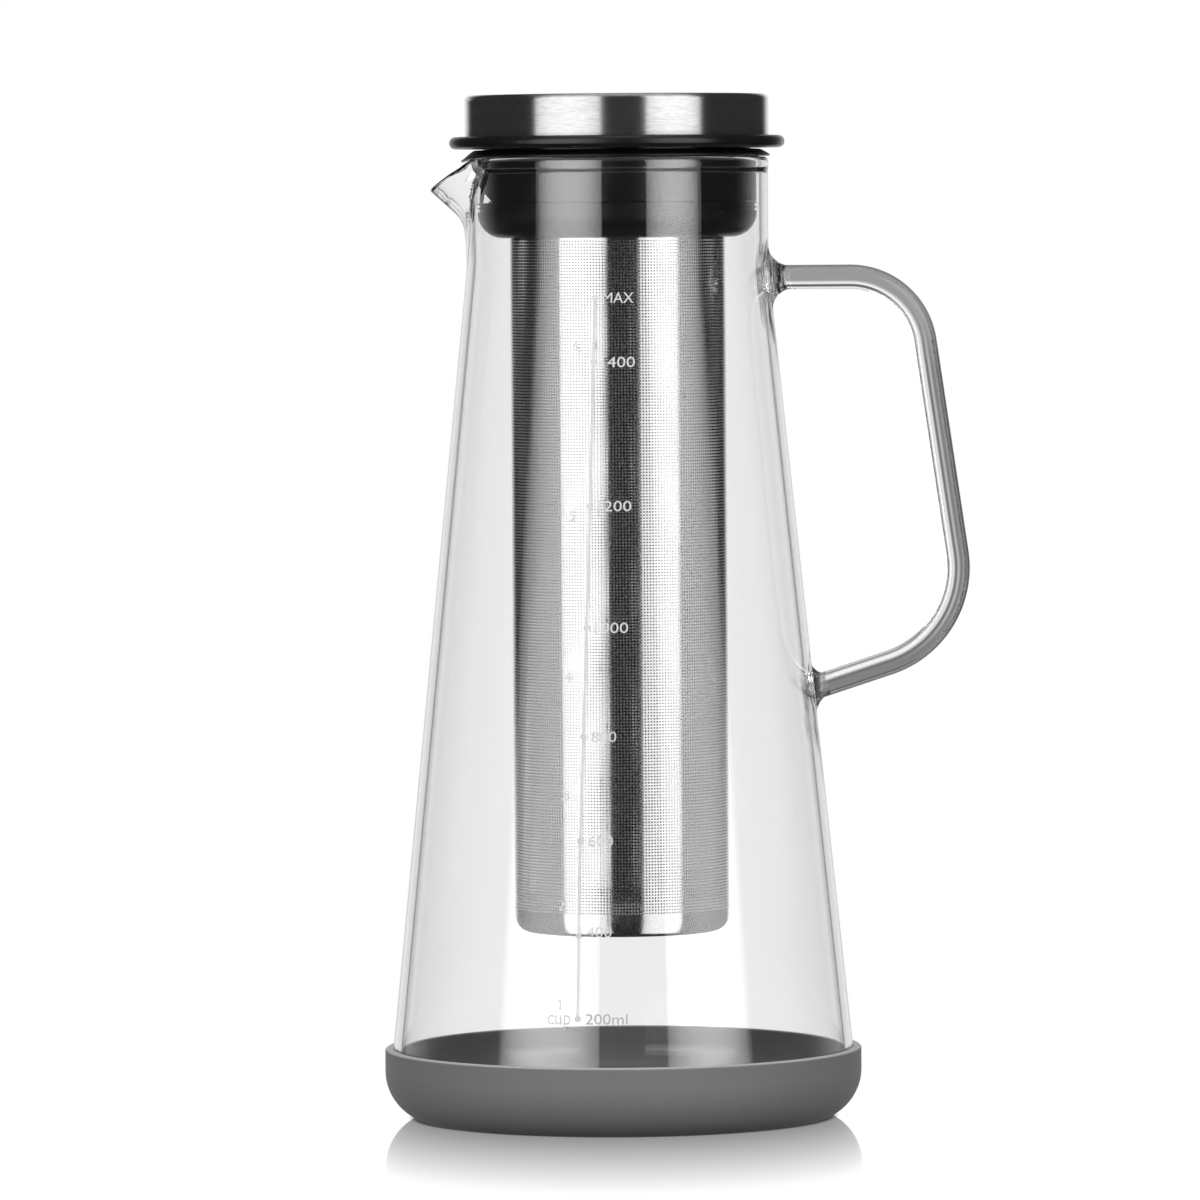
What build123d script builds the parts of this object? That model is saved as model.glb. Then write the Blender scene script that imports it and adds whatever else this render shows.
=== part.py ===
from build123d import *
import math
import os

# A glass cold brew carafe in a silicone base, with a lift-out steel filter and a steel-capped lid.
# Millimetres, +Z up. The origin is the centre of the base's underside.
# The handle is on +X and the pouring spout on -X.

# ---- glass body -------------------------------------------------------------------------------
CONE_FOOT_RADIUS = 60.3  # outside of the cone, where its line reaches z = 0
NECK_RADIUS = 38.25  # outside of the straight neck
NECK_LENGTH = 27.6  # from the rim down to where the cone's line meets the neck's
SHOULDER_ROUND = 45.0
RIM_HEIGHT = 243.6
GLASS_WALL = 2.0
GLASS_FLOOR = 3.0
GLASS_CORNER = 11.0  # outside radius between wall and floor
BEAD_HEIGHT = 3.2  # fire-polished rim, a little thicker than the wall
BEAD_OUTWARD = 0.15
BEAD_INWARD = 0.3
BEAD_ROUND = 1.15

# ---- pouring spout, pulled out of the neck ----------------------------------------------------
SPOUT_DEPTH = 20.3  # from the rim down to where the underside leaves the neck
SPOUT_ROOT_LEAN = 10.0  # degrees from upright there
SPOUT_CORNER_DEPTH = 15.7  # from the rim down to where its two straight parts would meet
SPOUT_BEND = 9.0  # radius of the bend between them
SPOUT_LEAN = 48.0  # degrees from upright at the lip
SPOUT_HALF_WIDTH = 15.0
SPOUT_TUCK = 3.0  # the spout's form starts this far below SPOUT_START, inside the wall
LIP_DROP_RADIUS = 36.4  # distance from the axis at which the lip's edge leaves the rim
LIP_FALL = 35.5  # degrees below level of the lip's edge
LIP_ROUND = 0.7

# ---- glass handle -----------------------------------------------------------------------------
ROD_RADIUS = 3.1
HANDLE_TOP_DEPTH = 30.6  # from the rim down to the middle of the upper run
HANDLE_TOP_REACH = 75.3  # distance from the axis to the upper corner
HANDLE_LOW_REACH = 88.6  # distance from the axis to the lower corner
HANDLE_LOW_HEIGHT = 121.6
HANDLE_ROOT_HEIGHT = 108.7  # where the lower run meets the glass
HANDLE_TOP_BEND = 19.0
HANDLE_LOW_BEND = 25.5
UPPER_PAD_SPREAD = 4.6  # how far the upper weld pad swells beyond the rod, and how far along it
LOWER_PAD_SPREAD = 2.8
PAD_SINK = 5.0  # how far rod and pad run on into the wall before they are trimmed to it

# ---- silicone base ----------------------------------------------------------------------------
BASE_HEIGHT = 17.7
BASE_WALL = 2.0  # at its upper edge, where it hugs the cone
BASE_FLOOR = 2.0
BASE_HEEL = 1.0  # how much of the rolled lower corner the flat underside cuts away
BASE_EDGE = 0.6
BASE_FIT = 0.1

# ---- filter -----------------------------------------------------------------------------------
FILTER_RADIUS = 27.3
FILTER_SHEET = 0.4
FILTER_BOTTOM = 47.4
CUP_HEIGHT = 5.6
CUP_CORNER = 3.8
CUP_SHEET = 0.6
CUP_SPIGOT = 3.0  # the part of the cup inside the tube
SEAM_WIDTH = 4.0
HOOP_SHEET = 0.5
HOOP_LENGTH = 6.0
HOOP_FLANGE_RADIUS = 31.5
HOOP_TOP_DEPTH = 1.9  # flange's top below the collar's top
COLLAR_DEPTH = 11.3  # from the rim down to its top
COLLAR_HEIGHT = 8.9
COLLAR_RADIUS = 35.4
COLLAR_LOWER_ROUND = 6.4
COLLAR_UPPER_ROUND = 0.3
COLLAR_SPIGOT = 0.45  # height of the ring on it that centres the lid's wall
COLLAR_GROOVE_DEPTH = 0.5
COLLAR_GROOVE_WIDTH = 0.7
COLLAR_GROOVES = 2  # shallow grooves that leave three sealing bands

# ---- lid --------------------------------------------------------------------------------------
PLUG_RADIUS = 35.3
PLUG_WALL = 2.4
PLUG_DECK = 2.5
PLUG_DECK_DEPTH = 0.6  # from the rim down to its top
HUB_RADIUS = 34.0
HUB_WALL = 2.4
NOTCH_HALF_WIDTH = 17.6
NOTCH_HEIGHT = 5.4
PLUG_RIBS = 6
PLUG_RIB_THICKNESS = 1.4
GASKET_RADIUS = 39.3
GASKET_SLOPE = 1.15  # fall of the skirt's top from its shoulder to its edge
GASKET_SHOULDER_RADIUS = 36.2
DRIP_RING_RADIUS = 42.5
DRIP_RING_THICKNESS = 3.1
DRIP_RING_LIFT = 2.35  # from the rim up to its underside
DRIP_RING_ROUND = 1.5
CAP_RADIUS = 38.5
CAP_HEIGHT = 10.4
CAP_SHEET = 0.8
CAP_EDGE = 1.3
CORE_WALL = 2.0
CORE_SPIGOT = 2.6

# ---- clearances -------------------------------------------------------------------------------
SEAT_GAP = 0.05  # between pieces that are fixed to one another
RUNNING_GAP = 0.3  # between pieces that part or turn
REST_GAP = 0.05  # between the lid and the collar that it rests on

# ---- worked out from the above ----------------------------------------------------------------
SHOULDER_HEIGHT = RIM_HEIGHT - NECK_LENGTH
SPOUT_START = RIM_HEIGHT - SPOUT_DEPTH
SPOUT_CORNER_HEIGHT = RIM_HEIGHT - SPOUT_CORNER_DEPTH
HANDLE_TOP_HEIGHT = RIM_HEIGHT - HANDLE_TOP_DEPTH
COLLAR_TOP = RIM_HEIGHT - COLLAR_DEPTH
PLUG_DECK_TOP = RIM_HEIGHT - PLUG_DECK_DEPTH
DRIP_RING_BOTTOM = RIM_HEIGHT + DRIP_RING_LIFT
TAPER = (CONE_FOOT_RADIUS - NECK_RADIUS) / SHOULDER_HEIGHT
WALL_SLANT = math.sqrt(1 + TAPER**2)
NECK_BORE = NECK_RADIUS - GLASS_WALL
FILTER_TOP = COLLAR_TOP - HOOP_TOP_DEPTH
TUBE_BOTTOM = FILTER_BOTTOM + CUP_HEIGHT
HOOP_INNER = FILTER_RADIUS + SEAT_GAP
HOOP_OUTER = HOOP_INNER + HOOP_SHEET
COLLAR_BOTTOM = COLLAR_TOP - COLLAR_HEIGHT
PLUG_BOTTOM = COLLAR_TOP + REST_GAP
BASE_CORNER = GLASS_CORNER + BASE_WALL
DRIP_RING_TOP = DRIP_RING_BOTTOM + DRIP_RING_THICKNESS
LID_SEAT = DRIP_RING_TOP + SEAT_GAP
ABOVE = 5.0  # how far cutting forms run on past what they cut
TOLERANCE = 1e-4


def spun(outline):
    """The solid of revolution about Z of a closed outline drawn with radius as X and height as Y."""
    return revolve(Plane.XZ * make_face(outline), Axis.Z)


def turned(*corners):
    """As spun, from straight lines. A corner is (radius, height) or (radius, height, rounding)."""
    rounds = [corner[2] if len(corner) > 2 else 0 for corner in corners]
    return spun(FilletPolyline(*[corner[:2] for corner in corners], radius=rounds, close=True))


def tube(inner, outer, low, high):
    """A plain ring between two radii and two heights."""
    return turned((inner, low), (outer, low), (outer, high), (inner, high))


def cone_radius(height, inset=0.0):
    """Radius of the glass cone at a height, or of a cone that lies inset mm inside it."""
    return CONE_FOOT_RADIUS - TAPER * height - inset * WALL_SLANT


def glass_form(inset, floor, corner, top):
    """The body's outer form, or the one inset mm inside it, with its floor height, corner radius and top."""
    neck = NECK_RADIUS - inset
    shoulder = (CONE_FOOT_RADIUS - inset * WALL_SLANT - neck) / TAPER
    return turned(
        (0, floor),
        (cone_radius(floor, inset), floor, corner),
        (neck, shoulder, SHOULDER_ROUND + inset),
        (neck, top),
        (0, top),
    )


# ---- glass ------------------------------------------------------------------------------------
def spout_form(inset):
    """The spout's outer form, or the one inset mm inside it: a level circle moved along its underside."""
    radius = SPOUT_HALF_WIDTH - inset
    root = math.radians(SPOUT_ROOT_LEAN)
    lean = math.radians(SPOUT_LEAN)
    low = SPOUT_START - SPOUT_TUCK
    high = RIM_HEIGHT + ABOVE
    lift = inset * (1 / math.cos(lean) - 1 / math.cos(root)) / (math.tan(lean) - math.tan(root))
    corner = SPOUT_CORNER_HEIGHT + lift
    on_neck = NECK_RADIUS - inset / math.cos(root)
    low_reach = on_neck + (low - SPOUT_START) * math.tan(root)
    corner_reach = on_neck + (corner - SPOUT_START) * math.tan(root)
    high_reach = corner_reach + (high - corner) * math.tan(lean)
    path = FilletPolyline(
        (radius - low_reach, 0, low),
        (radius - corner_reach, 0, corner),
        (radius - high_reach, 0, high),
        radius=[SPOUT_BEND + inset],
    )
    return sweep(Pos(radius - low_reach, 0, low) * Circle(radius), path, normal=(0, 0, 1))


def make_glass_carafe():
    outer = glass_form(0, BASE_FLOOR, GLASS_CORNER, RIM_HEIGHT - BEAD_ROUND)
    inner = glass_form(GLASS_WALL, BASE_FLOOR + GLASS_FLOOR, GLASS_CORNER - GLASS_WALL, RIM_HEIGHT)
    bead_inner = NECK_BORE - BEAD_INWARD
    bead_outer = NECK_RADIUS + BEAD_OUTWARD
    bead = turned(
        (bead_inner, RIM_HEIGHT - BEAD_HEIGHT, BEAD_ROUND),
        (bead_outer, RIM_HEIGHT - BEAD_HEIGHT, BEAD_ROUND),
        (bead_outer, RIM_HEIGHT, BEAD_ROUND),
        (bead_inner, RIM_HEIGHT, BEAD_ROUND),
    )
    wide = 4 * SPOUT_HALF_WIDTH
    over_lip = Box(wide, wide, wide, align=(Align.MAX, Align.CENTER, Align.MIN))
    over_lip = Pos(-LIP_DROP_RADIUS, 0, RIM_HEIGHT) * Rot(0, -LIP_FALL, 0) * over_lip
    over_rim = Cylinder(2 * NECK_RADIUS, wide, align=(Align.CENTER, Align.CENTER, Align.MIN))
    over_rim = Pos(0, 0, RIM_HEIGHT) * over_rim
    spout = spout_form(0) - over_lip - over_rim
    body = (outer + spout) - inner + bead - spout_form(GLASS_WALL)
    lip_slope = math.cos(math.radians(LIP_FALL))
    level_faces = body.faces().filter_by(GeomType.PLANE)
    lip_end = level_faces.filter_by(lambda face: abs(face.normal_at().Z - lip_slope) < TOLERANCE)[0]
    return fillet(lip_end.edges(), LIP_ROUND)


def make_glass_handle():
    lower_wall = cone_radius(HANDLE_ROOT_HEIGHT)
    upper_root = Vector(NECK_RADIUS, 0, HANDLE_TOP_HEIGHT)
    lower_root = Vector(lower_wall, 0, HANDLE_ROOT_HEIGHT)
    upper_corner = Vector(HANDLE_TOP_REACH, 0, HANDLE_TOP_HEIGHT)
    lower_corner = Vector(HANDLE_LOW_REACH, 0, HANDLE_LOW_HEIGHT)
    upper_way = (upper_corner - upper_root).normalized()
    lower_way = (lower_corner - lower_root).normalized()
    path = FilletPolyline(
        upper_root - upper_way * PAD_SINK,
        upper_corner,
        lower_corner,
        lower_root - lower_way * PAD_SINK,
        radius=[HANDLE_TOP_BEND, HANDLE_LOW_BEND],
    )
    rod = sweep(Plane(path @ 0, z_dir=path % 0) * Circle(ROD_RADIUS), path)
    upper_pad = weld_pad(upper_root, upper_way, UPPER_PAD_SPREAD)
    lower_pad = weld_pad(lower_root, lower_way, LOWER_PAD_SPREAD)
    return rod + upper_pad + lower_pad - glass_form(0, BASE_FLOOR, GLASS_CORNER, RIM_HEIGHT)


def weld_pad(root, way, spread):
    """The flare where the rod is fused to the wall, turned about the rod's own line."""
    foot = ROD_RADIUS + spread
    flare = RadiusArc((foot, 0), (ROD_RADIUS, spread), spread)
    sides = Polyline((ROD_RADIUS, spread), (0, spread), (0, -PAD_SINK), (foot, -PAD_SINK), (foot, 0))
    return Plane(root, z_dir=way) * spun(flare + sides)


# ---- silicone base ----------------------------------------------------------------------------
def make_silicone_base():
    outside = cone_radius(BASE_HEIGHT) + BASE_FIT + BASE_WALL
    centre_height = BASE_CORNER - BASE_HEEL
    contact = outside - BASE_CORNER + math.sqrt(BASE_CORNER**2 - centre_height**2)
    corner = RadiusArc((contact, 0), (outside, centre_height), -BASE_CORNER)
    sides = Polyline(
        (outside, centre_height),
        (outside, BASE_HEIGHT),
        (0, BASE_HEIGHT),
        (0, 0),
        (contact, 0),
    )
    block = spun(corner + sides)
    rim_edge = block.edges().filter_by(GeomType.CIRCLE).sort_by(Axis.Z)[-1]
    block = fillet(rim_edge, BASE_EDGE)
    return block - glass_form(-BASE_FIT, BASE_FLOOR, GLASS_CORNER, RIM_HEIGHT)


# ---- filter -----------------------------------------------------------------------------------
def make_filter_tube():
    sheet = tube(FILTER_RADIUS - FILTER_SHEET, FILTER_RADIUS, TUBE_BOTTOM, FILTER_TOP)
    seam_top = FILTER_TOP - HOOP_LENGTH
    lap = tube(FILTER_RADIUS - FILTER_SHEET / 2, FILTER_RADIUS + FILTER_SHEET, TUBE_BOTTOM, seam_top)
    seam_side = Pos(0, FILTER_RADIUS, TUBE_BOTTOM) * Box(
        SEAM_WIDTH, FILTER_RADIUS, FILTER_TOP, align=(Align.CENTER, Align.CENTER, Align.MIN)
    )
    return sheet + (lap & seam_side)


def make_filter_bottom_cup():
    spigot = FILTER_RADIUS - FILTER_SHEET - SEAT_GAP
    inner = spigot - CUP_SHEET
    return turned(
        (0, FILTER_BOTTOM),
        (FILTER_RADIUS, FILTER_BOTTOM, CUP_CORNER),
        (FILTER_RADIUS, TUBE_BOTTOM),
        (spigot, TUBE_BOTTOM),
        (spigot, TUBE_BOTTOM + CUP_SPIGOT),
        (inner, TUBE_BOTTOM + CUP_SPIGOT),
        (inner, FILTER_BOTTOM + CUP_SHEET, CUP_CORNER - CUP_SHEET),
        (0, FILTER_BOTTOM + CUP_SHEET),
    )


def make_filter_top_ring():
    return turned(
        (HOOP_INNER, FILTER_TOP - HOOP_LENGTH),
        (HOOP_OUTER, FILTER_TOP - HOOP_LENGTH),
        (HOOP_OUTER, FILTER_TOP - HOOP_SHEET),
        (HOOP_FLANGE_RADIUS, FILTER_TOP - HOOP_SHEET),
        (HOOP_FLANGE_RADIUS, FILTER_TOP),
        (HOOP_INNER, FILTER_TOP),
    )


def make_filter_collar():
    spigot = PLUG_RADIUS - PLUG_WALL - RUNNING_GAP
    body = turned(
        (HOOP_OUTER + SEAT_GAP, COLLAR_BOTTOM),
        (COLLAR_RADIUS, COLLAR_BOTTOM, COLLAR_LOWER_ROUND),
        (COLLAR_RADIUS, COLLAR_TOP, COLLAR_UPPER_ROUND),
        (spigot, COLLAR_TOP),
        (spigot, COLLAR_TOP + COLLAR_SPIGOT),
        (FILTER_RADIUS, COLLAR_TOP + COLLAR_SPIGOT, COLLAR_UPPER_ROUND),
        (FILTER_RADIUS, FILTER_TOP + SEAT_GAP),
        (HOOP_FLANGE_RADIUS + SEAT_GAP, FILTER_TOP + SEAT_GAP),
        (HOOP_FLANGE_RADIUS + SEAT_GAP, FILTER_TOP - HOOP_SHEET - SEAT_GAP),
        (HOOP_OUTER + SEAT_GAP, FILTER_TOP - HOOP_SHEET - SEAT_GAP),
    )
    band = COLLAR_HEIGHT - COLLAR_LOWER_ROUND - COLLAR_UPPER_ROUND
    pitch = band / COLLAR_GROOVES
    for groove in range(COLLAR_GROOVES):
        low = COLLAR_TOP - COLLAR_UPPER_ROUND - pitch * (groove + 0.5) - COLLAR_GROOVE_WIDTH / 2
        floor = COLLAR_RADIUS - COLLAR_GROOVE_DEPTH
        body -= tube(floor, COLLAR_RADIUS + COLLAR_GROOVE_DEPTH, low, low + COLLAR_GROOVE_WIDTH)
    return body


# ---- lid --------------------------------------------------------------------------------------
def make_rim_gasket():
    bore = HUB_RADIUS + RUNNING_GAP
    lip_inner = NECK_BORE - BEAD_INWARD
    top = DRIP_RING_BOTTOM - RUNNING_GAP
    rest = RIM_HEIGHT + RUNNING_GAP
    return turned(
        (bore, PLUG_DECK_TOP + RUNNING_GAP),
        (lip_inner - RUNNING_GAP, PLUG_DECK_TOP + RUNNING_GAP),
        (lip_inner, rest),
        (GASKET_RADIUS, rest),
        (GASKET_RADIUS, top - GASKET_SLOPE),
        (GASKET_SHOULDER_RADIUS, top),
        (bore, top),
    )


def make_lid_plug():
    hollow = PLUG_RADIUS - PLUG_WALL
    hub_inner = HUB_RADIUS - HUB_WALL
    ceiling = PLUG_DECK_TOP - PLUG_DECK
    body = turned(
        (hollow, PLUG_BOTTOM),
        (PLUG_RADIUS, PLUG_BOTTOM, COLLAR_UPPER_ROUND),
        (PLUG_RADIUS, PLUG_DECK_TOP, COLLAR_UPPER_ROUND),
        (HUB_RADIUS, PLUG_DECK_TOP),
        (HUB_RADIUS, DRIP_RING_TOP),
        (hub_inner, DRIP_RING_TOP),
        (hub_inner, PLUG_DECK_TOP),
        (0, PLUG_DECK_TOP),
        (0, ceiling),
        (hollow, ceiling),
    )
    rib_height = DRIP_RING_TOP - CORE_SPIGOT - SEAT_GAP - PLUG_DECK_TOP
    rib_low = (Align.CENTER, Align.CENTER, Align.MIN)
    rib = Box(2 * hub_inner + HUB_WALL, PLUG_RIB_THICKNESS, rib_height, align=rib_low)
    for turn in range(PLUG_RIBS // 2):
        body += Rot(0, 0, turn * 360 / PLUG_RIBS) * Pos(0, 0, PLUG_DECK_TOP) * rib
    arch_radius = (NOTCH_HALF_WIDTH**2 + NOTCH_HEIGHT**2) / (2 * NOTCH_HEIGHT)
    arch = Pos(-PLUG_RADIUS, 0, PLUG_BOTTOM + NOTCH_HEIGHT - arch_radius) * Rot(0, 90, 0)
    notch_end = math.sqrt(hollow**2 - NOTCH_HALF_WIDTH**2) - PLUG_WALL
    notch = arch * Cylinder(arch_radius, 2 * (PLUG_RADIUS - notch_end))
    return body - notch


def make_drip_ring():
    return turned(
        (HUB_RADIUS + SEAT_GAP, DRIP_RING_BOTTOM),
        (DRIP_RING_RADIUS, DRIP_RING_BOTTOM, DRIP_RING_ROUND),
        (DRIP_RING_RADIUS, DRIP_RING_TOP, DRIP_RING_ROUND),
        (HUB_RADIUS + SEAT_GAP, DRIP_RING_TOP),
    )


def make_lid_core():
    rim = CAP_RADIUS - CAP_SHEET - SEAT_GAP
    spigot = HUB_RADIUS - HUB_WALL - SEAT_GAP
    top = LID_SEAT + CAP_HEIGHT - CAP_SHEET - SEAT_GAP
    return turned(
        (spigot - CORE_WALL, LID_SEAT - CORE_SPIGOT),
        (spigot, LID_SEAT - CORE_SPIGOT),
        (spigot, LID_SEAT),
        (rim, LID_SEAT),
        (rim, top, CAP_EDGE - CAP_SHEET),
        (0, top),
        (0, top - CORE_WALL),
        (spigot - CORE_WALL, top - CORE_WALL),
    )


def make_lid_cap():
    top = LID_SEAT + CAP_HEIGHT
    inner = CAP_RADIUS - CAP_SHEET
    return turned(
        (inner, LID_SEAT),
        (CAP_RADIUS, LID_SEAT),
        (CAP_RADIUS, top, CAP_EDGE),
        (0, top),
        (0, top - CAP_SHEET),
        (inner, top - CAP_SHEET, CAP_EDGE - CAP_SHEET),
    )


NODES = {
    "silicone_base": make_silicone_base,
    "glass_carafe": make_glass_carafe,
    "glass_handle": make_glass_handle,
    "filter_tube": make_filter_tube,
    "filter_bottom_cup": make_filter_bottom_cup,
    "filter_top_ring": make_filter_top_ring,
    "filter_collar": make_filter_collar,
    "rim_gasket": make_rim_gasket,
    "lid_plug": make_lid_plug,
    "lid_core": make_lid_core,
    "drip_ring": make_drip_ring,
    "lid_cap": make_lid_cap,
}

os.makedirs("parts", exist_ok=True)
for name, make in NODES.items():
    export_step(make(), f"parts/{name}.step")
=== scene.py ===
import math

import bmesh
import bpy
import numpy as np
from mathutils import Matrix, Vector
from mathutils.kdtree import KDTree


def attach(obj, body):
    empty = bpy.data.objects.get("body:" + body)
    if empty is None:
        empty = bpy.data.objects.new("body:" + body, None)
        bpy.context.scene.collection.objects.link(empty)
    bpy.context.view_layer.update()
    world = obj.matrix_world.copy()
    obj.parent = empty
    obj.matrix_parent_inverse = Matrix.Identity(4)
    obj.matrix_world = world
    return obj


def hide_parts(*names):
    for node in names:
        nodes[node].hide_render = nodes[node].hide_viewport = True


# The looks of a glass cold brew carafe. The handle is on +X, the spout on -X and the printed scale
# faces -Y. Sizes are in millimetres and are written out in metres.
MM = 0.001

# ---- the glass, as it is in the frame ----
CONE_FOOT_RADIUS = 60.3
NECK_RADIUS = 38.25
SHOULDER_HEIGHT = 216.0
SHOULDER_ROUND = 45.0
RIM_HEIGHT = 243.6
GLASS_WALL = 2.0
GLASS_FLOOR = 3.0
FLOOR_UNDERSIDE = 2.0
GLASS_CORNER = 11.0
SPOUT_START = 223.3
SPOUT_ROOT_LEAN = math.radians(10)
SPOUT_CORNER_HEIGHT = 227.9
SPOUT_BEND = 9.0
SPOUT_LEAN = math.radians(48)
SPOUT_HALF_WIDTH = 15.0
LIP_DROP_RADIUS = 36.4
LIP_FALL = math.radians(35.5)
ROD_RADIUS = 3.1
HANDLE_TOP_HEIGHT = 213.0
HANDLE_TOP_REACH = 75.3
HANDLE_LOW_REACH = 88.6
HANDLE_LOW_HEIGHT = 121.6
HANDLE_ROOT_HEIGHT = 108.7
HANDLE_TOP_BEND = 19.0
HANDLE_LOW_BEND = 25.5
FILTER_RADIUS = 27.3
TAPER = (CONE_FOOT_RADIUS - NECK_RADIUS) / SHOULDER_HEIGHT
SLANT = math.hypot(1, TAPER)


def cone_radius(height):
    return CONE_FOOT_RADIUS - TAPER * height


# ---- shader helpers ----
class Tree:
    """The nodes of a material or world, with short calls that add a node and return its output."""

    def __init__(self, owner):
        owner.use_nodes = True
        self.owner = owner
        self.tree = owner.node_tree
        self.tree.nodes.clear()

    def outputs(self, kind, inputs=(), **settings):
        made = self.tree.nodes.new(kind)
        for key, value in settings.items():
            setattr(made, key, value)
        for key, value in dict(inputs).items():
            socket = made.inputs[key]
            if isinstance(value, bpy.types.NodeSocket):
                self.tree.links.new(value, socket)
            else:
                socket.default_value = value
        return made.outputs

    def node(self, kind, out=0, inputs=(), **settings):
        return self.outputs(kind, inputs, **settings)[out]

    def math(self, operation, a, b=0.0, c=0.0):
        return self.node("ShaderNodeMath", 0, {0: a, 1: b, 2: c}, operation=operation)

    def plus(self, a, b):
        return self.math("ADD", a, b)

    def minus(self, a, b):
        return self.math("SUBTRACT", a, b)

    def above(self, a, b):
        return self.math("GREATER_THAN", a, b)

    def below(self, a, b):
        return self.math("LESS_THAN", a, b)

    def times(self, first, *others):
        for other in others:
            first = self.math("MULTIPLY", first, other)
        return first

    def most(self, first, *others):
        for other in others:
            first = self.math("MAXIMUM", first, other)
        return first

    def length(self, a, b):
        return self.math("SQRT", self.plus(self.times(a, a), self.times(b, b)))

    def smooth(self, value, low, high, to_low=0.0, to_high=1.0):
        """Goes smoothly from to_low at low to to_high at high."""
        ends = {"From Min": low, "From Max": high, "To Min": to_low, "To Max": to_high}
        return self.node(
            "ShaderNodeMapRange", 0, {"Value": value, **ends}, interpolation_type="SMOOTHSTEP"
        )

    def smooth_degrees(self, angle, low, high, *ends):
        return self.smooth(angle, math.radians(low), math.radians(high), *ends)

    def band_degrees(self, angle, start, full_from, full_to, end):
        """1 between the two inner angles, falling smoothly to 0 at the two outer ones."""
        rise = self.smooth_degrees(angle, start, full_from)
        return self.times(rise, self.smooth_degrees(angle, end, full_to))

    def mix(self, factor, a, b):
        return self.node("ShaderNodeMix", 0, {0: factor, 2: a, 3: b})

    def mix_colour(self, factor, a, b):
        return self.node("ShaderNodeMix", 2, {0: factor, 6: a, 7: b}, data_type="RGBA")

    def mix_shader(self, factor, a, b):
        return self.node("ShaderNodeMixShader", 0, {0: factor, 1: a, 2: b})

    def noise(self, vector, scale, detail, roughness):
        settings = {"Scale": scale, "Detail": detail, "Roughness": roughness}
        return self.node("ShaderNodeTexNoise", 0, {"Vector": vector, **settings})

    def separate(self, vector):
        return self.outputs("ShaderNodeSeparateXYZ", {0: vector})

    def combine(self, x, y, z):
        return self.node("ShaderNodeCombineXYZ", 0, {0: x, 1: y, 2: z})

    def stretched(self, place, scales):
        """A place from its three parts, each times its scale."""
        return self.combine(*[self.times(part, scale) for part, scale in zip(place, scales)])

    def place(self):
        """Position on the object, in metres in the shared frame."""
        return self.node("ShaderNodeTexCoord", "Object")

    def round_axis(self):
        """Angle round the axis, distance from it and height, in radians and metres."""
        x, y, z = self.separate(self.place())
        return self.math("ARCTAN2", y, x), self.length(x, y), z

    def generated(self):
        """Place in the object's box, from 0 to 1. In a world, the direction."""
        return self.separate(self.node("ShaderNodeTexCoord", "Generated"))

    def painted(self, name):
        """A layer of numbers that is kept on the mesh."""
        return self.node("ShaderNodeAttribute", "Fac", attribute_name=name)

    def bump(self, height, strength, distance):
        inputs = {"Strength": strength, "Distance": distance, "Height": height}
        return self.node("ShaderNodeBump", 0, inputs)

    def rays(self):
        return self.outputs("ShaderNodeLightPath")

    def glow(self, strength):
        return self.node("ShaderNodeEmission", 0, {"Color": grey(1.0), "Strength": strength})

    def principled(self, inputs):
        return self.node("ShaderNodeBsdfPrincipled", 0, inputs)

    def surface(self, shader, kind="ShaderNodeOutputMaterial"):
        """Gives the material or world its surface, and returns it."""
        self.outputs(kind, {"Surface": shader})
        return self.owner


def material_tree(name):
    return Tree(bpy.data.materials.new(name))


def grey(value):
    return (value, value, value, 1.0)


# ---- mesh helpers ----
def link_object(name, data):
    made = bpy.data.objects.new(name, data)
    bpy.context.scene.collection.objects.link(made)
    return made


def hide_from(made, *rays):
    for ray in rays:
        setattr(made, "visible_" + ray, False)


def shade_smooth(mesh):
    mesh.polygons.foreach_set("use_smooth", [True] * len(mesh.polygons))


def new_object(name, vertices, faces, material, smooth=True):
    """A mesh object from coordinates in millimetres."""
    mesh = bpy.data.meshes.new(name)
    mesh.from_pydata((np.asarray(vertices) * MM).tolist(), [], faces)
    mesh.update()
    if smooth:
        shade_smooth(mesh)
    mesh.materials.append(material)
    return link_object(name, mesh)


def face_outward(closed):
    mesh = bmesh.new()
    mesh.from_mesh(closed.data)
    bmesh.ops.recalc_face_normals(mesh, faces=mesh.faces)
    mesh.to_mesh(closed.data)
    mesh.free()


def grid_faces(rows, columns, loop=False):
    """Quads between rows of points. Each row closes on itself, and with loop so do the rows."""
    faces = []
    for row in range(rows if loop else rows - 1):
        low = row * columns
        high = (row + 1) % rows * columns
        for column in range(columns):
            after = (column + 1) % columns
            faces.append((low + column, low + after, high + after, high + column))
    return faces


def capped_faces(rows, columns):
    """Quads between rows of points, and a face over the first row and over the last."""
    last = (rows - 1) * columns
    caps = [tuple(range(columns - 1, -1, -1)), tuple(range(last, last + columns))]
    return grid_faces(rows, columns) + caps


def paint_layer(mesh, name, values):
    layer = mesh.attributes.new(name, "FLOAT", "POINT")
    layer.data.foreach_set("value", np.asarray(values, dtype=np.float32))


def unite(base, other):
    """Joins other into base with an exact boolean, and removes other."""
    modifier = base.modifiers.new("unite", "BOOLEAN")
    modifier.operation = "UNION"
    modifier.solver = "EXACT"
    modifier.object = other
    depsgraph = bpy.context.evaluated_depsgraph_get()
    mesh = bpy.data.meshes.new_from_object(base.evaluated_get(depsgraph))
    base.modifiers.clear()
    old = base.data
    base.data = mesh
    mesh.name = old.name
    bpy.data.meshes.remove(old)
    bpy.data.objects.remove(other)


def whole_turn(columns):
    return np.arange(columns) * 2 * math.pi / columns


def circle(radius, sides):
    return [(radius * math.cos(t), radius * math.sin(t)) for t in whole_turn(sides)]


def unit(vectors):
    return vectors / np.linalg.norm(vectors, axis=-1, keepdims=True)


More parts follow.
